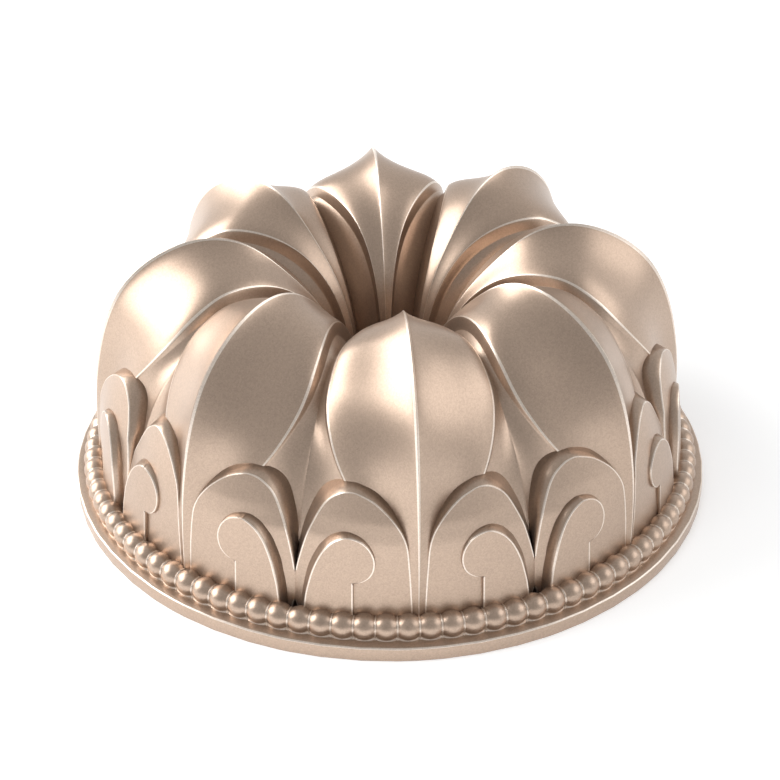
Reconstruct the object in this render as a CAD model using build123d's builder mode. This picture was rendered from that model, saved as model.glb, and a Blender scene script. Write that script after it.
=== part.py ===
from build123d import *
import os
from math import cos, radians, sin, tan

# Cast bundt pan lying upside down on its rim, in millimetres.
# +Z is up, the origin is the centre of the rim's resting face, and the
# ridge of the front petal lies on -Y. Eight identical petals run from the
# rim, over the crest and down into the centre tube. Each petal is drawn
# about the XZ plane first and then turned to its place.

# ---- driving dimensions -------------------------------------------------
PETALS = 8
HALF_ANGLE = 180 / PETALS

RIM_RADIUS = 130
FLANGE_THICKNESS = 6
FLANGE_ROUND = 1.2

WALL = 3.6
RIDGE_WALL = 4.6
LINING = 0.8
LINING_GAP = 1

BEADS_PER_PETAL = 12
BEAD_RADIUS = 5.1
BEAD_RING_RADIUS = 122.0
BEAD_CENTRE_HEIGHT = 9.9
BEAD_RING_INNER = 120.7

COLLAR_BOTTOM = 10
COLLAR_HOLE = 13
COLLAR_TOP_RADIUS = 31
COLLAR_BOTTOM_RADIUS = 19

PANEL_ANGLE = 13
PANEL_FRONT = 122
ARCH_BACK = 97
ARCH_FRONT_SCALE = 0.93
ARCH_BACK_SCALE = 1.10
SCROLL_BACK = 104
FILL_DEPTH = 17
FILL_SHARE = 5 / 12

# Stations along one petal, from the flange over the crest to the collar:
# the ridge, the leaf's edge, the foot of its step and the valley, each as
# (radius, height, angle from the ridge).
STATIONS = [
    ((120.4, 6, 0), (118.5, 6, 2.6), (115.5, 6, 3.4), (112.0, 6, HALF_ANGLE)),
    ((120.0, 30, 0), (117.8, 30, 4.6), (114.6, 29, 5.4), (109.0, 28, HALF_ANGLE)),
    ((118.4, 50, 0), (112.6, 49, 9.6), (110.8, 48, 10.1), (104.5, 47, HALF_ANGLE)),
    ((113.5, 72, 0), (101.5, 66, 15.8), (99.7, 64.5, 16.3), (97.0, 62, HALF_ANGLE)),
    ((104.6, 89.8, 0), (91.0, 80, 19.6), (89.5, 77.8, 20.4), (87.5, 76.5, HALF_ANGLE)),
    ((90.0, 102.2, 0), (81.5, 89, 20.4), (80.5, 86, 21.4), (79.0, 85, HALF_ANGLE)),
    ((72.0, 108, 0), (69.0, 95.2, 19.6), (69.0, 91.2, 20.8), (69.5, 88, HALF_ANGLE)),
    ((55.0, 104, 0), (52.5, 93.5, 16.0), (53.5, 89, 17.2), (58.0, 84, HALF_ANGLE)),
    ((38.5, 89, 0), (38.5, 86, 11.7), (40.5, 81, 12.6), (46.5, 75, HALF_ANGLE)),
    ((27.0, 74, 0), (27.4, 72.5, 8.2), (30.0, 68.5, 9.3), (37.0, 62.5, HALF_ANGLE)),
    ((20.5, 57, 0), (21.0, 56, 6.2), (24.0, 53, 7.4), (30.0, 48.5, HALF_ANGLE)),
    ((17.6, 40, 0), (18.2, 39.5, 5.4), (21.0, 38, 7.0), (26.5, 36.3, HALF_ANGLE)),
    ((17.0, 26, 0), (17.4, 26, 5.0), (19.6, 26, 7.0), (26.0, 26, HALF_ANGLE)),
]
SECTIONS_PER_STATION = 2
LEAF_BELLY = 0.025
LEAF_HOLLOW = 0.035

# Faces of the two raised layers at the foot of each petal: height, radius on
# the ridge's line and radius on the valley's line.
ARCH_FACE = [(6, 119.6, 117.0), (28, 118.8, 115.0), (44, 116.6, 110.6), (68, 109.5, 102.0)]
SCROLL_FACE = [(6, 120.2, 120.4), (28, 118.9, 119.4), (52, 116.4, 117.0)]
FACE_BACK = 60


# ---- shared shapes ------------------------------------------------------
def from_polar(radius, height, angle):
    """Point at a radius, a height and an angle from the petal's ridge."""
    return Vector(radius * cos(radians(angle)), radius * sin(radians(angle)), height)


def guide(line):
    """Smooth curve through one line of the stations, evenly spaced by station."""
    points = [from_polar(*station[line]) for station in STATIONS]
    last = len(points) - 1
    return Edge.make_spline(points, parameters=[k / last for k in range(last + 1)])


def valley_point(plane, depth):
    """A point on the plane between two petals, depth below the valley line."""
    centre_distance = plane.origin.X - depth * plane.y_dir.X
    return (centre_distance * tan(radians(HALF_ANGLE)), -depth)


def flip(points):
    """The same points on the other side of the ridge."""
    return [(-x, y) for x, y in points]


def leaf_points(edge, peak):
    """Leaf surface from its edge to the ridge: full outside, hollow by the ridge."""
    rise = peak[1] - edge[1]
    run = rise + edge[0]
    full = (edge[0] * 0.62, edge[1] + 0.36 * rise + LEAF_BELLY * run)
    hollow = (edge[0] * 0.25, edge[1] + 0.72 * rise - LEAF_HOLLOW * run)
    return [edge, full, hollow, peak]


def petal_section(corners, outer_depth, inner_depth):
    """Cross-section of one petal between two depths; 0 is the outside of the metal."""
    ridge, edge, foot, valley = corners
    origin = Vector(valley.X, 0, valley.Z)
    up = (ridge - origin).normalized()
    plane = Plane(origin, x_dir=(0, 1, 0), z_dir=(up.Z, 0, -up.X))
    edge = tuple(plane.to_local_coords(edge))[:2]
    foot = tuple(plane.to_local_coords(foot))[:2]
    peak = tuple(plane.to_local_coords(ridge))[:2]

    def inside_line(depth):
        shoulder = (foot[0] * 0.88, foot[1] - depth)
        top = (0, peak[1] - depth * RIDGE_WALL / WALL)
        return [valley_point(plane, depth), shoulder, top]

    inner = inside_line(inner_depth)
    with BuildSketch(plane) as section:
        with BuildLine():
            if outer_depth == 0:
                outer = [valley_point(plane, 0), foot, edge]
                leaf = leaf_points(edge, peak)
                Spline(*leaf)
                Spline(*flip(leaf))
            else:
                outer = inside_line(outer_depth)
            Polyline(*outer)
            Polyline(*flip(outer))
            Polyline(*inner)
            Polyline(*flip(inner))
            Line(outer[0], inner[0])
            Line(*flip([outer[0], inner[0]]))
        make_face()
    return section.sketch


def petal_slice(outer_depth, inner_depth, share=1, foot_height=FLANGE_THICKNESS):
    """One petal's slice of the wall between two depths, with an upright foot."""
    guides = [guide(line) for line in range(4)]
    count = SECTIONS_PER_STATION * (len(STATIONS) - 1)
    sections = []
    for k in range(round(count * share) + 1):
        corners = [curve @ (k / count) for curve in guides]
        sections.append(petal_section(corners, outer_depth, inner_depth))
    with BuildPart() as piece:
        loft(sections, ruled=True)
        extrude(sections[0], amount=foot_height, dir=(0, 0, -1))
    return piece.part


def around(shape):
    """Copies of a petal's shape on every petal, the first one at the front."""
    return [Rot(0, 0, -90 + k * 360 / PETALS) * shape for k in range(PETALS)]


def face_wedge(face):
    """Space behind a raised layer's face, over one side of a petal."""
    slope = tan(radians(HALF_ANGLE))
    with BuildPart() as wedge:
        for height, ridge_radius, valley_radius in face:
            corner = from_polar(valley_radius, 0, HALF_ANGLE)
            with BuildSketch(Plane.XY.offset(height)):
                Polygon(
                    (FACE_BACK, 0),
                    (ridge_radius, 0),
                    (corner.X, corner.Y),
                    (FACE_BACK, FACE_BACK * slope),
                    align=None,
                )
        loft(ruled=True)
    return wedge.part


def panel_plane(distance):
    """Upright plane across one side of a petal; its Y is up, X runs to the valley."""
    normal = from_polar(1, 0, PANEL_ANGLE)
    return Plane(normal * distance, x_dir=(-normal.Y, normal.X, 0), z_dir=normal)


def arch_outline(distance, factor):
    """Pointed arch over one side of a petal, from the ridge to the valley."""
    with BuildSketch(panel_plane(distance)) as outline:
        with BuildLine():
            side = Line((-34, 0), (-34, 30))
            rise = Line(side @ 1, (-22.5, 40))
            arch = Spline(rise @ 1, (-17.8, 51.5), (-7, 59), (5, 58.5), (14, 45), (19, 26))
            Polyline(arch @ 1, (30, 20), (30, 0), side @ 0)
        make_face()
        scale(by=factor)
    return outline.sketch


def scroll_outline(distance):
    """Comma-shaped scroll: a round lobe towards the ridge on a widening stem."""
    with BuildSketch(panel_plane(distance)) as outline:
        with BuildLine():
            neck = Line((-3, 0), (-3, 26.8))
            lobe = ThreePointArc(neck @ 1, (-10.8, 35), (-4, 44.2))
            back = Spline(lobe @ 1, (3.5, 44), (9.2, 37.2), (13.2, 24), (15.3, 6))
            Polyline(back @ 1, (15.3, 0), neck @ 0)
        make_face()
    return outline.sketch


def both_sides(shape):
    """A shape on one side of the ridge and its mirror image on the other."""
    return [shape, mirror(shape, about=Plane.XZ)]


os.makedirs("parts", exist_ok=True)

# ---- fluted wall: one slice of the casting for each petal ------------------
wall_slice = petal_slice(0, WALL)
for number, placed_slice in enumerate(around(wall_slice), start=1):
    with BuildPart() as petal:
        add(placed_slice)
    petal.part.label = f"petal_{number}"
    export_step(petal.part, f"parts/petal_{number}.step")

# ---- rim flange: a flat ring whose inside follows the foot of the wall -----
petal_fill = petal_slice(0, FILL_DEPTH, FILL_SHARE)
with BuildPart() as rim_flange:
    Cylinder(RIM_RADIUS, FLANGE_THICKNESS, align=(Align.CENTER, Align.CENTER, Align.MIN))
    fillet(rim_flange.edges(), FLANGE_ROUND)
    add(around(petal_fill), mode=Mode.SUBTRACT)
    inside_cut = STATIONS[0][3][0] - WALL
    Cylinder(inside_cut, FLANGE_THICKNESS, align=(Align.CENTER, Align.CENTER, Align.MIN), mode=Mode.SUBTRACT)
rim_flange.part.label = "rim_flange"
export_step(rim_flange.part, "parts/rim_flange.step")

# ---- bead border: half-round beads side by side on the flange ---------------
bead_count = PETALS * BEADS_PER_PETAL
bead_slope = tan(radians(180 / bead_count))
with BuildPart() as bead:
    with Locations((BEAD_RING_RADIUS, 0, BEAD_CENTRE_HEIGHT)):
        Sphere(BEAD_RADIUS)
    with BuildSketch(Plane.XY.offset(FLANGE_THICKNESS)):
        near = BEAD_RING_INNER
        far = RIM_RADIUS
        Polygon(
            (near, -near * bead_slope),
            (far, -far * bead_slope),
            (far, far * bead_slope),
            (near, near * bead_slope),
            align=None,
        )
    extrude(amount=2 * BEAD_RADIUS, mode=Mode.INTERSECT)
with BuildPart() as bead_border:
    add([Rot(0, 0, (k + 0.5) * 360 / bead_count) * bead.part for k in range(bead_count)])
bead_border.part.label = "bead_border"
export_step(bead_border.part, "parts/bead_border.step")

# ---- arch panels: raised pointed arches, two at the foot of each petal -----
arch_back = face_wedge(ARCH_FACE)
with BuildPart() as arch_panel:
    loft([arch_outline(PANEL_FRONT, ARCH_FRONT_SCALE), arch_outline(ARCH_BACK, ARCH_BACK_SCALE)], ruled=True)
    add(arch_back, mode=Mode.INTERSECT)
    add(petal_fill, mode=Mode.SUBTRACT)
arch_solid = arch_panel.solids().sort_by(SortBy.VOLUME)[-1]
with BuildPart() as arch_panels:
    for side in both_sides(arch_solid):
        add(around(side))
arch_panels.part.label = "arch_panels"
export_step(arch_panels.part, "parts/arch_panels.step")

# ---- scrolls: a second raised layer on each arch panel ----------------------
with BuildPart() as scroll:
    extrude(scroll_outline(PANEL_FRONT), amount=SCROLL_BACK - PANEL_FRONT)
    add(face_wedge(SCROLL_FACE), mode=Mode.INTERSECT)
    add(arch_back, mode=Mode.SUBTRACT)
scroll_solid = scroll.solids().sort_by(SortBy.VOLUME)[-1]
with BuildPart() as scrolls:
    for side in both_sides(scroll_solid):
        add(around(side))
scrolls.part.label = "scrolls"
export_step(scrolls.part, "parts/scrolls.step")

# ---- tube collar: plain round end of the centre tube, open through ---------
collar_top = STATIONS[-1][0][1]
with BuildPart() as tube_collar:
    with BuildSketch(Plane.XZ):
        Polygon(
            (COLLAR_HOLE, COLLAR_BOTTOM),
            (COLLAR_BOTTOM_RADIUS, COLLAR_BOTTOM),
            (COLLAR_TOP_RADIUS, collar_top),
            (STATIONS[-1][0][0], collar_top),
            align=None,
        )
    revolve(axis=Axis.Z)
tube_collar.part.label = "tube_collar"
export_step(tube_collar.part, "parts/tube_collar.step")

# ---- nonstick lining: the coating on the cake side of the wall -------------
lining_slice = petal_slice(WALL, WALL + LINING, foot_height=FLANGE_THICKNESS - LINING_GAP)
with BuildPart() as nonstick_lining:
    add(around(lining_slice))
nonstick_lining.part.label = "nonstick_lining"
export_step(nonstick_lining.part, "parts/nonstick_lining.step")
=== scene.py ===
import math

import bmesh
import bpy
from mathutils import Matrix, Vector


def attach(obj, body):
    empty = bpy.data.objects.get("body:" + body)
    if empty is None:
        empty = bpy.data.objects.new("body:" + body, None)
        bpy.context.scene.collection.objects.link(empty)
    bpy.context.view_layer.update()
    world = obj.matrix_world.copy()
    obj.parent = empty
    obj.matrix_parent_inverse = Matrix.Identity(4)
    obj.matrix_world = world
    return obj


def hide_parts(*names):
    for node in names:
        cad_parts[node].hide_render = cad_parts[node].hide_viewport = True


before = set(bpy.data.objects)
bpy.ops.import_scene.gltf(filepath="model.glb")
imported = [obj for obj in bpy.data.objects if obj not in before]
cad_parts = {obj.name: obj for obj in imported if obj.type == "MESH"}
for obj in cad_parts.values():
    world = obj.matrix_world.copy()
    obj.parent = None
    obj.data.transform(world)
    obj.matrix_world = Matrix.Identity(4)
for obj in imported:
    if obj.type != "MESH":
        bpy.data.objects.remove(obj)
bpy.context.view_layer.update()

# ---------------------------------------------------------------------------
# Petals. Each is one eighth of the casting's fluted wall: a ridged leaf that
# rises from the rim, rolls over the crest and dives into the centre tube, with
# a step at its edge down to the valleys beside it. All are one thin casting.
# ---------------------------------------------------------------------------
mm = 0.001


def bronze_coat(name, colour, roughness, flake_size):
    """Metallic spray paint: fine bright flakes, slightly uneven in tone and gloss."""
    material = bpy.data.materials.new(name)
    material.use_nodes = True
    tree = material.node_tree
    nodes = tree.nodes
    links = tree.links
    nodes.clear()

    output = nodes.new("ShaderNodeOutputMaterial")
    output.label = "bronze coat"
    output.location = (900, 0)
    coat = nodes.new("ShaderNodeBsdfPrincipled")
    coat.label = "satin metallic paint"
    coat.location = (600, 0)
    coat.inputs["Metallic"].default_value = 0.88
    coat.inputs["Coat Weight"].default_value = 0.12
    coat.inputs["Coat Roughness"].default_value = 0.25

    place = nodes.new("ShaderNodeTexCoord")
    place.label = "place on the pan"
    place.location = (-900, 0)

    flake = nodes.new("ShaderNodeTexVoronoi")
    flake.label = "metal flakes"
    flake.location = (-600, 150)
    flake.inputs["Scale"].default_value = 1.0 / flake_size
    flake_colour = nodes.new("ShaderNodeMapRange")
    flake_colour.label = "flake brightness"
    flake_colour.location = (-300, 250)
    flake_colour.inputs["To Min"].default_value = 0.90
    flake_colour.inputs["To Max"].default_value = 1.10
    cloud = nodes.new("ShaderNodeTexNoise")
    cloud.label = "uneven spray"
    cloud.location = (-600, -150)
    cloud.inputs["Scale"].default_value = 28
    cloud.inputs["Detail"].default_value = 3
    cloud_tone = nodes.new("ShaderNodeMapRange")
    cloud_tone.label = "spray tone"
    cloud_tone.location = (-300, -50)
    cloud_tone.inputs["To Min"].default_value = 0.96
    cloud_tone.inputs["To Max"].default_value = 1.04
    tone = nodes.new("ShaderNodeMath")
    tone.label = "flake and spray"
    tone.operation = "MULTIPLY"
    tone.location = (-60, 150)
    tint = nodes.new("ShaderNodeVectorMath")
    tint.label = "coat colour"
    tint.operation = "SCALE"
    tint.location = (160, 150)
    tint.inputs[0].default_value = colour

    rough = nodes.new("ShaderNodeMapRange")
    rough.label = "satin gloss"
    rough.location = (-60, -150)
    rough.inputs["To Min"].default_value = roughness - 0.04
    rough.inputs["To Max"].default_value = roughness + 0.05

    grain = nodes.new("ShaderNodeBump")
    grain.label = "flake tilt"
    grain.location = (160, -350)
    grain.inputs["Strength"].default_value = 0.06
    grain.inputs["Distance"].default_value = 0.0002

    for effect, members in (
        ("flake and spray colour", (flake, flake_colour, cloud, cloud_tone, tone, tint)),
        ("satin gloss", (rough,)),
        ("flake relief", (grain,)),
    ):
        frame_node = nodes.new("NodeFrame")
        frame_node.label = effect
        for member in members:
            member.parent = frame_node

    links.new(place.outputs["Object"], flake.inputs["Vector"])
    links.new(place.outputs["Object"], cloud.inputs["Vector"])
    links.new(flake.outputs["Color"], flake_colour.inputs["Value"])
    links.new(cloud.outputs["Fac"], cloud_tone.inputs["Value"])
    links.new(flake_colour.outputs["Result"], tone.inputs[0])
    links.new(cloud_tone.outputs["Result"], tone.inputs[1])
    links.new(tone.outputs["Value"], tint.inputs["Scale"])
    links.new(tint.outputs["Vector"], coat.inputs["Base Color"])
    links.new(cloud.outputs["Fac"], rough.inputs["Value"])
    links.new(rough.outputs["Result"], coat.inputs["Roughness"])
    links.new(flake.outputs["Color"], grain.inputs["Height"])
    links.new(grain.outputs["Normal"], coat.inputs["Normal"])
    links.new(coat.outputs["BSDF"], output.inputs["Surface"])
    return material


bronze = bronze_coat("bronze_coat", (0.485, 0.366, 0.285), 0.35, 0.0005)
# on edges and corners a paler coat is painted as a highlight, standing in for the light that their small
# roundings catch
painted_highlight_bronze = bronze_coat("painted_highlight_bronze_coat", (0.80, 0.70, 0.61), 0.30, 0.0005)
inside_bronze = bronze_coat("inside_coat", (0.42, 0.305, 0.23), 0.38, 0.0006)


def finish_piece(name, mesh, material, slot_name, *cad_nodes):
    """A finished mesh as a piece of the pan, in place of its CAD solids."""
    mesh.materials.append(material)
    # a second slot holds the paler coat of painted edge highlights
    if material is bronze:
        mesh.materials.append(painted_highlight_bronze)
    mesh.shade_smooth()
    piece = bpy.data.objects.new(name, mesh)
    bpy.context.scene.collection.objects.link(piece)
    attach(piece, "root")
    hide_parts(*cad_nodes)
    return piece


petal_count = 8
half_angle = math.pi / petal_count
wall = 3.6
ridge_wall = 4.6
rows_per_station = 3

# ridge (radius, height), leaf edge and step foot (radius, height, degrees from
# the ridge) and valley (radius, height), in millimetres, from the rim inwards
petal_stations = [
    ((120.4, 6), (117.4, 6, 2.6), (115.5, 6, 3.4), (112.0, 6)),
    ((120.0, 30), (116.9, 30, 4.6), (115.5, 29, 5.4), (112.0, 28)),
    ((118.4, 50), (110.5, 49, 9.6), (109.9, 48.6, 9.8), (106.4, 47)),
    ((113.5, 72), (101.5, 66, 15.8), (101.1, 65.5, 16.0), (99.4, 62)),
    ((104.6, 89.8), (91.0, 80, 19.6), (89.9, 78.5, 20.1), (88.0, 76.5)),
    ((90.0, 102.2), (81.5, 89, 20.4), (80.5, 86, 21.4), (79.0, 85.6)),
    ((72.0, 108.0), (69.0, 95.2, 19.6), (69.0, 91.2, 20.8), (69.0, 89.5)),
    ((55.0, 104.0), (52.5, 93.5, 16.0), (53.5, 89, 17.2), (58.0, 84)),
    ((38.5, 89), (38.5, 86, 11.7), (40.5, 81, 12.6), (46.5, 75)),
    ((27.0, 74), (27.4, 72.5, 8.2), (30.0, 68.5, 9.3), (37.0, 62.5)),
    ((20.5, 57), (21.0, 56, 6.2), (24.0, 53, 7.4), (30.0, 48.5)),
    ((17.6, 40), (18.2, 39.5, 5.4), (21.0, 38, 7.0), (26.5, 36.3)),
    ((17.0, 26), (17.4, 26, 5.0), (19.6, 26, 7.0), (26.0, 26)),
]

# how far the leaf has dropped from ridge to edge against how far across it is,
# low on the flank and then over the crest, where its shoulder is fuller
leaf_section = [
    (0.02, 0.045, 0.055), (0.07, 0.11, 0.14), (0.15, 0.20, 0.245), (0.28, 0.335, 0.39), (0.45, 0.49, 0.53),
    (0.63, 0.65, 0.65), (0.80, 0.80, 0.76), (0.92, 0.915, 0.87), (0.985, 0.985, 0.965), (1.0, 1.0, 1.0),
]
# the same from the leaf's foot to the valley: level with the next petal low
# down, and two rounded bands that meet in a sharp valley over the crest
valley_section = [(0.04, 0.07, 0.03), (0.33, 0.50, 0.27), (0.66, 0.84, 0.59), (0.94, 0.995, 0.93)]
# how deep the leaf is dished between ridge and edge at each station, where the
# arches' tops cut into it
leaf_dish = [0, -2.5, 2.6, 1.0, 0, 0, 0, 0, 0, 0, 0, 0, 0]


def through(points, t):
    """Smooth curve through evenly spaced points; t counts the points from 0."""
    last = len(points) - 1
    k = min(int(t), last - 1)
    s = t - k
    p1 = Vector(points[k])
    p2 = Vector(points[k + 1])
    p0 = Vector(points[k - 1]) if k > 0 else 2 * p1 - p2
    p3 = Vector(points[k + 2]) if k + 2 <= last else 2 * p2 - p1
    a = 2 * p1
    b = p2 - p0
    c = 2 * p0 - 5 * p1 + 4 * p2 - p3
    d = 3 * p1 - p0 - 3 * p2 + p3
    return 0.5 * (a + b * s + c * s * s + d * s * s * s)


def crest_share(t):
    """0 low on the flank, 1 from the crest on into the tube."""
    s = min(max((t - 3) / 2, 0), 1)
    return s * s * (3 - 2 * s)


def petal_corners(t):
    """Ridge, leaf edge, step foot and valley of a section, the ridge over +X."""
    ridge = through([station[0] for station in petal_stations], t)
    valley = through([station[3] for station in petal_stations], t)
    corners = [Vector((ridge.x, 0, ridge.y))]
    for line in (1, 2):
        radius, height, degrees = through([station[line] for station in petal_stations], t)
        angle = math.radians(degrees)
        corners.append(Vector((radius * math.cos(angle), radius * math.sin(angle), height)))
    corners.append(Vector((valley.x * math.cos(half_angle), valley.x * math.sin(half_angle), valley.y)))
    return corners


def outer_row(t):
    """Outside points from the ridge to the valley, one side."""
    ridge, edge, foot, valley = petal_corners(t)
    dish = max(through([(depth, 0) for depth in leaf_dish], t).x, 0)
    crest = crest_share(t)
    row = [ridge]
    for across, low_drop, crest_drop in leaf_section:
        drop = low_drop + (crest_drop - low_drop) * crest
        row.append(Vector((
            ridge.x + (edge.x - ridge.x) * drop - dish * math.sin(math.pi * across) ** 2,
            edge.y * across,
            ridge.z + (edge.z - ridge.z) * drop,
        )))
    row.append(foot)
    for across, low_drop, crest_drop in valley_section:
        drop = low_drop + (crest_drop - low_drop) * crest
        row.append(Vector((
            foot.x + (valley.x - foot.x) * drop,
            foot.y + (valley.y - foot.y) * across,
            foot.z + (valley.z - foot.z) * drop,
        )))
    row.append(valley)
    return row


def inner_row(t, depth):
    """Points under outer_row, depth inside the metal, without the leaf's step."""
    ridge, edge, foot, valley = petal_corners(t)
    up = Vector((ridge.x - valley.x, 0, ridge.z - valley.z)).normalized()
    top = ridge - up * depth * ridge_wall / wall
    shoulder = foot - up * depth
    shoulder.y = foot.y * 0.88
    floor = valley - up * depth
    floor.y = floor.x * math.tan(half_angle)
    row = [top]
    for across, drop, _ in leaf_section:
        even = 0.5 * across + 0.5 * drop
        row.append(Vector((
            top.x + (shoulder.x - top.x) * even,
            shoulder.y * across,
            top.z + (shoulder.z - top.z) * even,
        )))
    reach = floor - shoulder
    for across in (0.08, 0.20, 0.45, 0.75, 0.94):
        row.append(shoulder + reach * across)
    row.append(floor)
    return row


def lowered(row, height):
    return [Vector((point.x, point.y, height)) for point in row]


def both_halves(row):
    """A row from the far valley over the ridge to the near valley."""
    mirrored = [Vector((point.x, -point.y, point.z)) for point in row[:0:-1]]
    return mirrored + row


last_station = len(petal_stations) - 1
steps = [k / rows_per_station for k in range(last_station * rows_per_station + 1)]
outer_rows = [outer_row(t) for t in steps]
inner_rows = [inner_row(t, wall) for t in steps]
outer_rows = [lowered(outer_rows[0], 0), lowered(outer_rows[0], 3)] + outer_rows
inner_rows = [lowered(inner_rows[0], 0), lowered(inner_rows[0], 3)] + inner_rows
row_steps = [0, 0] + steps

ridge_column = 0
edge_column = len(leaf_section)
foot_column = edge_column + 1
valley_column = len(outer_rows[0]) - 1


def petal_mesh(name, turn):
    """One petal as a closed cage: outside, inside and the cut faces between."""
    cage = bmesh.new()
    crease = cage.edges.layers.float.new("crease_edge")
    rings = []
    for outer, inner in zip(outer_rows, inner_rows):
        ring = both_halves(outer) + both_halves(inner)[::-1]
        rings.append([cage.verts.new(turn @ point * mm) for point in ring])
    size = len(rings[0])
    # the faces beside the ridge and next to the leaf's edge take the paler coat, a painted highlight along
    # those corners
    highlight_columns = []
    for column in (ridge_column, edge_column - 1):
        highlight_columns += [valley_column + column, valley_column - column - 1]
    for low, high in zip(rings, rings[1:]):
        for k in range(size):
            n = (k + 1) % size
            face = cage.faces.new((low[k], low[n], high[n], high[k]))
            face.material_index = 1 if k in highlight_columns else 0
    half = size // 2
    for k in range(half - 1):
        cage.faces.new((rings[0][size - 1 - k], rings[0][size - 2 - k], rings[0][k + 1], rings[0][k]))
        cage.faces.new((rings[-1][k], rings[-1][k + 1], rings[-1][size - 2 - k], rings[-1][size - 1 - k]))
    bmesh.ops.recalc_face_normals(cage, faces=cage.faces)

    middle = valley_column
    for step, (low, high) in enumerate(zip(rings, rings[1:])):
        crest = crest_share(row_steps[step])
        sharpness = {
            0: 1.0, valley_column - foot_column: 0.3 + 0.6 * crest,
            valley_column - edge_column: 0.55 + 0.2 * crest, middle: 0.7,
        }
        for column, value in sharpness.items():
            for k in (column, 2 * middle - column):
                cage.edges.get((low[k], high[k]))[crease] = value
        for k in (half, size - 1):
            cage.edges.get((low[k], high[k]))[crease] = 1.0
    for ring in (rings[0], rings[-1]):
        for k in range(size):
            cage.edges.get((ring[k], ring[(k + 1) % size]))[crease] = 1.0
    mesh = bpy.data.meshes.new(name)
    cage.to_mesh(mesh)
    cage.free()
    return mesh


for number in range(1, petal_count + 1):
    turn = Matrix.Rotation(-math.pi / 2 + (number - 1) * 2 * half_angle, 3, "Z")
    petal = finish_piece(
        f"petal_{number}_casting", petal_mesh(f"petal_{number}_casting", turn),
        bronze, "bronze_paint", f"petal_{number}",
    )
    smooth = petal.modifiers.new("rolled surfaces", "SUBSURF")
    smooth.levels = 2
    smooth.render_levels = 2

# ---------------------------------------------------------------------------
# Rim flange. A flat cast ring that the pan stands on, 6 mm thick, with its
# outer corners broken. Its inside runs along the foot of the fluted wall.
# ---------------------------------------------------------------------------
rim_radius = 130.0
flange_top = 6.0
corner = 0.55
foot_line = both_halves(outer_rows[0])[:-1]

cage = bmesh.new()
loops = []
for number in range(petal_count):
    turn = Matrix.Rotation(number * 2 * half_angle, 3, "Z")
    for point in foot_line:
        placed = turn @ point
        around = Vector((placed.x, placed.y, 0)).normalized()
        inside = Vector((placed.x, placed.y, 0)) - 0.4 * around
        profile = [
            inside,
            inside * 0.2 + around * (rim_radius - corner) * 0.8,
            around * (rim_radius - corner),
            around * (rim_radius - 0.3 * corner) + Vector((0, 0, 0.3 * corner)),
            around * rim_radius + Vector((0, 0, corner)),
            around * rim_radius + Vector((0, 0, flange_top - corner)),
            around * (rim_radius - 0.3 * corner) + Vector((0, 0, flange_top - 0.3 * corner)),
            around * (rim_radius - corner) + Vector((0, 0, flange_top)),
            inside * 0.2 + around * (rim_radius - corner) * 0.8 + Vector((0, 0, flange_top)),
            inside + Vector((0, 0, flange_top)),
        ]
        loops.append([cage.verts.new(spot * mm) for spot in profile])
for this, following in zip(loops, loops[1:] + loops[:1]):
    size = len(this)
    for k in range(size):
        n = (k + 1) % size
        face = cage.faces.new((this[k], following[k], following[n], this[n]))
        # the outer top corner takes the paler coat as a painted highlight
        face.material_index = 1 if k in (5, 6) else 0
bmesh.ops.recalc_face_normals(cage, faces=cage.faces)
mesh = bpy.data.meshes.new("rim_flange_casting")
cage.to_mesh(mesh)
cage.free()
flange = finish_piece("rim_flange_casting", mesh, bronze, "bronze_paint", "rim_flange")

# ---------------------------------------------------------------------------
# Bead border. Ninety-six half-round beads cast on the flange, 12 to a petal,
# each running into the next through a narrow rounded groove, with a small
# fillet where it meets the flange.
# ---------------------------------------------------------------------------
bead_count = 96
bead_ring = 122.0
bead_height = 9.9
bead_radius = 5.1
bead_fillet = 0.9
bead_cuts = [-0.5, -0.465, -0.41, -0.30, -0.15, 0.0, 0.15, 0.30, 0.41, 0.47]

cage = bmesh.new()
loops = []
pitch = 2 * math.pi / bead_count
for number in range(bead_count):
    for offset in bead_cuts:
        radius = math.sqrt(bead_radius ** 2 - (offset * pitch * bead_ring) ** 2)
        if offset == -0.5:
            radius += 1.2
        angle = (number + 0.5 + offset) * pitch
        around = Vector((math.cos(angle), math.sin(angle), 0))
        profile = [(-0.3, -5.0), (radius * 0.64 + bead_fillet, -5.0), (radius * 0.64 + bead_fillet, -3.95)]
        for k in range(10):
            lean = math.radians(-48 + 25 * k)
            profile.append((radius * math.cos(lean), radius * math.sin(lean)))
        profile.append((-radius * 0.9, -5.0))
        loops.append([
            cage.verts.new((around * (bead_ring + x) + Vector((0, 0, bead_height + z))) * mm)
            for x, z in profile
        ])
for cut, (this, following) in enumerate(zip(loops, loops[1:] + loops[:1])):
    size = len(this)
    for k in range(size):
        n = (k + 1) % size
        face = cage.faces.new((this[k], following[k], following[n], this[n]))
        # the grooves between beads and the fillet at their foot take the paler coat as a painted highlight
        face.material_index = 1 if cut % len(bead_cuts) in (0, len(bead_cuts) - 1) or k == 2 else 0
bmesh.ops.recalc_face_normals(cage, faces=cage.faces)
mesh = bpy.data.meshes.new("bead_border_casting")
cage.to_mesh(mesh)
cage.free()
beads = finish_piece("bead_border_casting", mesh, bronze, "bronze_paint", "bead_border")
smooth = beads.modifiers.new("round beads", "SUBSURF")
smooth.levels = 1
smooth.render_levels = 1

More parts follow.
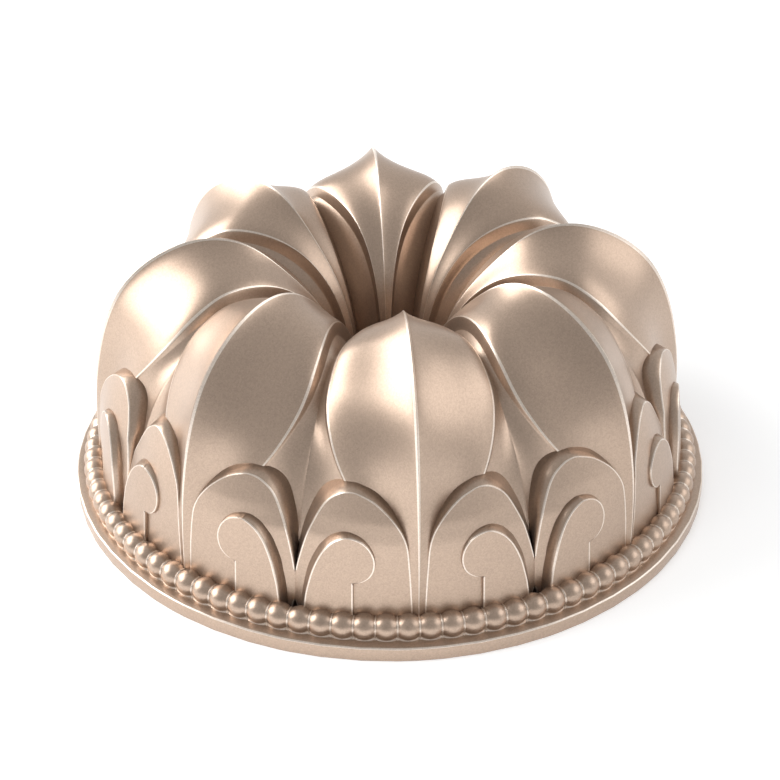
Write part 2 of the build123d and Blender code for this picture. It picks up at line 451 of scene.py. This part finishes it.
# ---------------------------------------------------------------------------
# Tube collar. The fluted tube ends in a plain round collar, open through, so
# that heat reaches the middle of the cake.
# ---------------------------------------------------------------------------
collar_profile = [
    (17.0, 26.0), (31.0, 26.0), (24.5, 17.0), (19.0, 10.6), (17.6, 10.0), (14.0, 10.0), (13.0, 10.8),
]
mesh = bpy.data.meshes.new("tube_collar_casting")
mesh.from_pydata(
    [(radius * mm, 0, height * mm) for radius, height in collar_profile],
    [(k, (k + 1) % len(collar_profile)) for k in range(len(collar_profile))],
    [],
)
collar = finish_piece("tube_collar_casting", mesh, bronze, "bronze_paint", "tube_collar")
turned = collar.modifiers.new("turned", "SCREW")
turned.steps = 64
turned.render_steps = 64
turned.use_merge_vertices = True
turned.merge_threshold = 0.00001

# ---------------------------------------------------------------------------
# Nonstick lining. A smooth baked coat on the cake side. It follows the inside
# of the petals from just above the rim to the collar.
# ---------------------------------------------------------------------------
lining_depth = 0.8
lining_gap = 1.0
lining_rows = [
    (inner_row(t, wall), inner_row(t, wall + lining_depth)) for t in steps
]
foot_pair = lining_rows[0]
lining_rows = [tuple(lowered(row, lining_gap) for row in foot_pair)] + lining_rows
kept_columns = [0, 2, 4, 6, 8, 10, 12, 14, 16]

cage = bmesh.new()
rings = []
for wall_side, cake_side in lining_rows:
    skins = []
    for row in (wall_side, cake_side):
        kept = [row[k] for k in kept_columns]
        skin = []
        for number in range(petal_count):
            turn = Matrix.Rotation(number * 2 * half_angle, 3, "Z")
            skin += [cage.verts.new(turn @ point * mm) for point in both_halves(kept)[:-1]]
        skins.append(skin)
    rings.append(skins)
around_count = len(rings[0][0])
for side in (0, 1):
    for low, high in zip(rings, rings[1:]):
        for k in range(around_count):
            n = (k + 1) % around_count
            cage.faces.new((low[side][k], low[side][n], high[side][n], high[side][k]))
for end in (rings[0], rings[-1]):
    for k in range(around_count):
        n = (k + 1) % around_count
        cage.faces.new((end[0][k], end[0][n], end[1][n], end[1][k]))
bmesh.ops.recalc_face_normals(cage, faces=cage.faces)
mesh = bpy.data.meshes.new("nonstick_lining_coat")
cage.to_mesh(mesh)
cage.free()
lining = finish_piece("nonstick_lining_coat", mesh, inside_bronze, "coating", "nonstick_lining")
smooth = lining.modifiers.new("smooth coat", "SUBSURF")
smooth.levels = 1
smooth.render_levels = 1

# ---------------------------------------------------------------------------
# Arch panels. The first raised layer at the foot of each petal: a pointed arch
# on each side of the ridge, its face running from the ridge to the valley,
# where it meets the next petal's arch. Its walls lean back as cast walls do.
# ---------------------------------------------------------------------------
# the flank's arc length for one degree about the axis, in millimetres
degree_length = 2.05
# panels that reach this far from the ridge, in degrees, touch the next petal's
valley_plane = 22.4


def resample(points, count):
    """Evenly spaced points on the smooth line through given ones."""
    fine = [through(points, t * (len(points) - 1) / 200) for t in range(201)]
    lengths = [0.0]
    for a, b in zip(fine, fine[1:]):
        lengths.append(lengths[-1] + math.hypot((b[0] - a[0]) * degree_length, b[1] - a[1]))
    picked = []
    k = 0
    for step in range(count):
        target = lengths[-1] * step / (count - 1)
        while k < 199 and lengths[k + 1] < target:
            k += 1
        share = (target - lengths[k]) / (lengths[k + 1] - lengths[k])
        picked.append(list(fine[k] + (fine[k + 1] - fine[k]) * share))
    return picked


def face_radius(table, degrees, height):
    """Radius of a raised layer's face: each row of the table gives a height and
    the radii on the ridge's line, half way and on the valley's line."""
    for low, high in zip(table, table[1:]):
        if height <= high[0] or high is table[-1]:
            s = (height - low[0]) / (high[0] - low[0])
            ridge, middle, valley = (a + (b - a) * s for a, b in zip(low[1:], high[1:]))
            across = degrees / math.degrees(half_angle)
            bend = 2 * (ridge - 2 * middle + valley)
            return ridge + (valley - ridge - bend) * across + bend * across * across


# a paler painted highlight runs this far either side of a corner, in millimetres; the support columns and
# the wall's lip sit at the same distance
corner_width = 0.5


def relief_mesh(name, left, right, face, columns):
    """A raised panel from its two side lines, foot to crown, on both halves of
    every petal. A point gives the degrees and height of the face's edge, those
    of the wall's foot and how far that foot lies behind the face."""
    rows = len(left)
    cage = bmesh.new()
    weight = cage.edges.layers.float.new("bevel_weight_edge")
    for number in range(petal_count):
        turn = Matrix.Rotation(-math.pi / 2 + number * 2 * half_angle, 3, "Z")
        for sign in (1, -1):
            def vert(degrees, height, radius):
                angle = min(math.radians(degrees), half_angle) * sign
                return cage.verts.new(
                    turn @ Vector((radius * math.cos(angle), radius * math.sin(angle), height)) * mm
                )

            front = []
            back = []
            for a, b in zip(left, right):
                strip = []
                under = []
                width = math.hypot((b[0] - a[0]) * degree_length, b[1] - a[1])
                margin = min(corner_width / max(width, corner_width), 1 / columns)
                inside = [margin + (1 - 2 * margin) * c / (columns - 2) for c in range(columns - 1)]
                for share in [0] + inside + [1]:
                    p = [x + (y - x) * share for x, y in zip(a, b)]
                    strip.append(vert(p[0], p[1], face(p[0], p[1])))
                    under.append(vert(p[2], p[3], face(p[0], p[1]) - p[4]))
                front.append(strip)
                back.append(under)
            for k in range(rows - 1):
                # the outer face columns take the paler coat, a painted highlight along the rim
                highlight_columns = [0]
                if right[k][0] < valley_plane:
                    highlight_columns.append(columns - 1)
                for c in range(columns):
                    corners = (front[k][c], front[k][c + 1], front[k + 1][c + 1], front[k + 1][c])
                    top = cage.faces.new(corners)
                    top.material_index = 1 if c in highlight_columns else 0
                    cage.faces.new((back[k][c], back[k + 1][c], back[k + 1][c + 1], back[k][c + 1]))
            rim = [front[k][0] for k in range(rows)] + front[-1][1:-1]
            rim += [front[k][-1] for k in reversed(range(rows))]
            hem = [back[k][0] for k in range(rows)] + back[-1][1:-1]
            hem += [back[k][-1] for k in reversed(range(rows))]
            degrees = [p[0] for p in left] + [0] * (columns - 1) + [p[0] for p in right[::-1]]
            lip = []
            for top, foot in zip(rim, hem):
                share = min(corner_width * mm / (foot.co - top.co).length, 0.4)
                lip.append(cage.verts.new(top.co.lerp(foot.co, share)))
            for k in range(len(rim) - 1):
                corner = cage.faces.new((rim[k], rim[k + 1], lip[k + 1], lip[k]))
                cage.faces.new((lip[k], lip[k + 1], hem[k + 1], hem[k]))
                edge = cage.edges.get((rim[k], rim[k + 1]))
                # where the rim is bevelled, the strip just below it takes the paler coat as a painted
                # highlight
                if min(degrees[k], degrees[k + 1]) < valley_plane:
                    corner.material_index = 1
                    edge[weight] = 1.0
                else:
                    edge.smooth = False
            cage.faces.new(front[0] + [lip[-1]] + back[0][::-1] + [lip[0]])
    bmesh.ops.recalc_face_normals(cage, faces=cage.faces)
    mesh = bpy.data.meshes.new(name)
    cage.to_mesh(mesh)
    cage.free()
    return mesh


arch_table = [
    (5, 118.8, 119.2, 116.6), (15, 118.8, 119.0, 116.0), (26, 118.6, 118.0, 115.1),
    (34, 118.2, 116.9, 113.6), (42, 117.3, 115.8, 111.8), (50, 115.2, 113.4, 108.4),
    (60, 111.6, 109.6, 104.6), (66, 109.2, 107.2, 102.2),
]
# degrees and height of the face's edge, of the wall's foot, and the foot's depth
arch_left = [
    (0.95, 5.5, 0.85, 5.5, 1.0), (1.15, 18, 1.05, 18, 1.0), (1.5, 32, 1.4, 32, 1.0),
    (2.1, 43.2, 1.9, 43.8, 1.5), (4.1, 50.7, 3.65, 51.8, 3.0), (7.4, 56.6, 6.9, 58.9, 4.6),
    (10.4, 59.1, 10.2, 62.2, 6.2),
]
arch_right = [
    (21.9, 5.5, 22.0, 5.5, 3.0), (22.0, 10, 22.2, 10, 3.0), (22.3, 13, 22.4, 12.8, 2.5),
    (22.5, 14.5, 22.5, 14.5, 1.5), (22.5, 25, 22.5, 25, 1.0), (21.3, 36.5, 22.5, 36.9, 4.0),
    (20.0, 44.5, 22.5, 45.6, 8.0), (17.6, 53.8, 20.0, 55.8, 9.6), (14.9, 58.3, 16.2, 61.6, 9.4),
    (12.5, 59.7, 12.7, 63.2, 7.8),
]


def arch_face(degrees, height):
    """The face turns up towards the rib that the ridge makes low down."""
    flare = 0.5 * math.exp(-((degrees / 2.0) ** 2))
    return face_radius(arch_table, degrees, height) + flare


arch_line = resample(arch_left + arch_right[::-1], 80)
arch_mesh = relief_mesh("arch_panels_casting", arch_line[:40], arch_line[:39:-1], arch_face, 12)
arches = finish_piece("arch_panels_casting", arch_mesh, bronze, "bronze_paint", "arch_panels")
soft_edge = arches.modifiers.new("broken corners", "BEVEL")
soft_edge.limit_method = "WEIGHT"
# the narrow faces at the crown clamp this to about 0.02 mm, so corners stay nearly sharp
soft_edge.width = 0.0003
soft_edge.segments = 3
soft_edge.harden_normals = True

# ---------------------------------------------------------------------------
# Scrolls. The second raised layer, one on each arch: a comma with a round lobe
# towards the ridge, a square notch under it and a stem that runs down behind
# the beads.
# ---------------------------------------------------------------------------
scroll_table = [
    (5, 120.3, 120.3, 120.3), (15, 120.1, 120.1, 120.1), (29, 119.1, 119.1, 119.1),
    (44, 117.2, 117.2, 117.2), (52, 116.3, 116.3, 116.3),
]
scroll_stem = [(11.5, 5.5, 11.45, 5.5, 1.8), (11.5, 16, 11.45, 16, 1.8), (11.5, 26.9, 11.4, 26.6, 1.6)]
scroll_lobe = [
    (11.5, 26.9, 11.4, 26.6, 1.6), (10.0, 27.5, 9.9, 27.1, 1.5), (8.5, 29.8, 8.3, 29.5, 1.5),
    (7.75, 33.2, 7.6, 33.2, 1.8), (7.75, 37, 7.5, 37.3, 2.4), (8.6, 41, 8.2, 41.8, 2.8),
    (10.3, 44, 10.0, 45.3, 3.4),
]
scroll_right = [
    (20.4, 5.5, 21.7, 5.5, 5.0), (20.2, 14, 21.6, 14, 5.0), (19.9, 20, 21.3, 20.2, 5.0),
    (19.4, 25, 20.9, 25.3, 5.0), (18.8, 30, 20.3, 30.4, 5.2), (17.9, 35, 19.3, 35.6, 5.4),
    (16.8, 39.2, 18.1, 40.2, 5.4), (15.1, 42.9, 16.2, 44.3, 5.2), (12.8, 45.0, 13.2, 46.7, 4.6),
]


def scroll_face(degrees, height):
    return face_radius(scroll_table, degrees, height)


scroll_line = resample(scroll_lobe + scroll_right[::-1], 66)
scroll_left = resample(scroll_stem, 16)[:-1] + scroll_line[:26]
scroll_mesh = relief_mesh("scrolls_casting", scroll_left, scroll_line[:24:-1], scroll_face, 8)
scrolls = finish_piece("scrolls_casting", scroll_mesh, bronze, "bronze_paint", "scrolls")
soft_edge = scrolls.modifiers.new("broken corners", "BEVEL")
soft_edge.limit_method = "WEIGHT"
# as on the arches, but clamped to about 0.01 mm
soft_edge.width = 0.0003
soft_edge.segments = 3
soft_edge.harden_normals = True

# ---------------------------------------------------------------------------
# Table, light and camera. The pan stands upside down on a pale sweep of card,
# lit by a large soft box high on the left, a broad one in front and white
# walls all round, which is what gives a satin metallic coat its long pale bands.
# ---------------------------------------------------------------------------
card = bpy.data.meshes.new("card_sweep")
card_half = 3.0
card.from_pydata(
    [(x * card_half, y * card_half, 0) for x, y in ((-1, -1), (1, -1), (1, 1), (-1, 1))],
    [],
    [(0, 1, 2, 3)],
)
card_sweep = bpy.data.objects.new("card_sweep", card)
bpy.context.scene.collection.objects.link(card_sweep)

card_paper = bpy.data.materials.new("card_paper")
card_paper.use_nodes = True
paper = card_paper.node_tree.nodes["Principled BSDF"]
paper.inputs["Base Color"].default_value = (0.93, 0.935, 0.94, 1)
paper.inputs["Roughness"].default_value = 0.9
paper.inputs["Emission Color"].default_value = (0.97, 0.985, 1.0, 1)
paper.inputs["Emission Strength"].default_value = 0.24
card.materials.append(card_paper)

world = bpy.data.worlds.new("studio")
bpy.context.scene.world = world
world.use_nodes = True
walls = world.node_tree.nodes["Background"]
walls.inputs["Color"].default_value = (1.0, 1.0, 1.0, 1)
toward = world.node_tree.nodes.new("ShaderNodeTexCoord")
toward.location = (-800, 0)
room = world.node_tree.nodes.new("ShaderNodeVectorMath")
room.label = "dark above the front, pale at the back"
room.operation = "DOT_PRODUCT"
room.location = (-600, 0)
room.inputs[1].default_value = (0.35, 0.75, -0.55)
room_light = world.node_tree.nodes.new("ShaderNodeMapRange")
room_light.location = (-400, 0)
room_light.inputs["From Min"].default_value = -1.0
room_light.inputs["To Min"].default_value = 0.40
room_light.inputs["To Max"].default_value = 0.92
world.node_tree.links.new(toward.outputs["Generated"], room.inputs[0])
world.node_tree.links.new(room.outputs["Value"], room_light.inputs["Value"])
world.node_tree.links.new(room_light.outputs["Result"], walls.inputs["Strength"])

for name, place, aim, width, height, watts, tint in (
    ("softbox_left", (-1.01, 0.33, 0.62), (0, 0, 0.05), 1.3, 0.9, 17, (1.0, 0.99, 0.975)),
    ("softbox_right", (1.15, -0.2, 0.72), (0, 0, 0.05), 1.1, 0.9, 4.5, (1.0, 0.99, 0.98)),
    ("card_light", (-0.15, -0.33, 0.30), (-0.09, -0.23, 0), 0.24, 0.24, 0.6, (1.0, 0.99, 0.98)),
):
    lamp = bpy.data.lights.new(name, "AREA")
    lamp.shape = "RECTANGLE"
    lamp.size = width
    lamp.size_y = height
    lamp.energy = watts
    lamp.color = tint
    lamp_object = bpy.data.objects.new(name, lamp)
    lamp_object.location = place
    lamp_object.rotation_euler = (Vector(aim) - Vector(place)).to_track_quat("-Z", "Y").to_euler()
    # the low one only brightens the card in front and is no highlight itself
    lamp_object.visible_glossy = name != "card_light"
    bpy.context.scene.collection.objects.link(lamp_object)

camera_turn = math.radians(-5.02)
camera_rise = math.radians(32.5)
camera_reach = 0.7681
camera_aim = Vector((0, 0, 0.0341))
lens = bpy.data.cameras.new("camera")
lens.sensor_width = 36
lens.lens = 86.15
camera = bpy.data.objects.new("camera", lens)
camera.location = camera_aim + camera_reach * Vector((
    math.sin(camera_turn) * math.cos(camera_rise),
    -math.cos(camera_turn) * math.cos(camera_rise),
    math.sin(camera_rise),
))
camera.rotation_euler = (camera_aim - camera.location).to_track_quat("-Z", "Y").to_euler()
bpy.context.scene.collection.objects.link(camera)
bpy.context.scene.camera = camera
bpy.context.scene.view_settings.view_transform = "Standard"
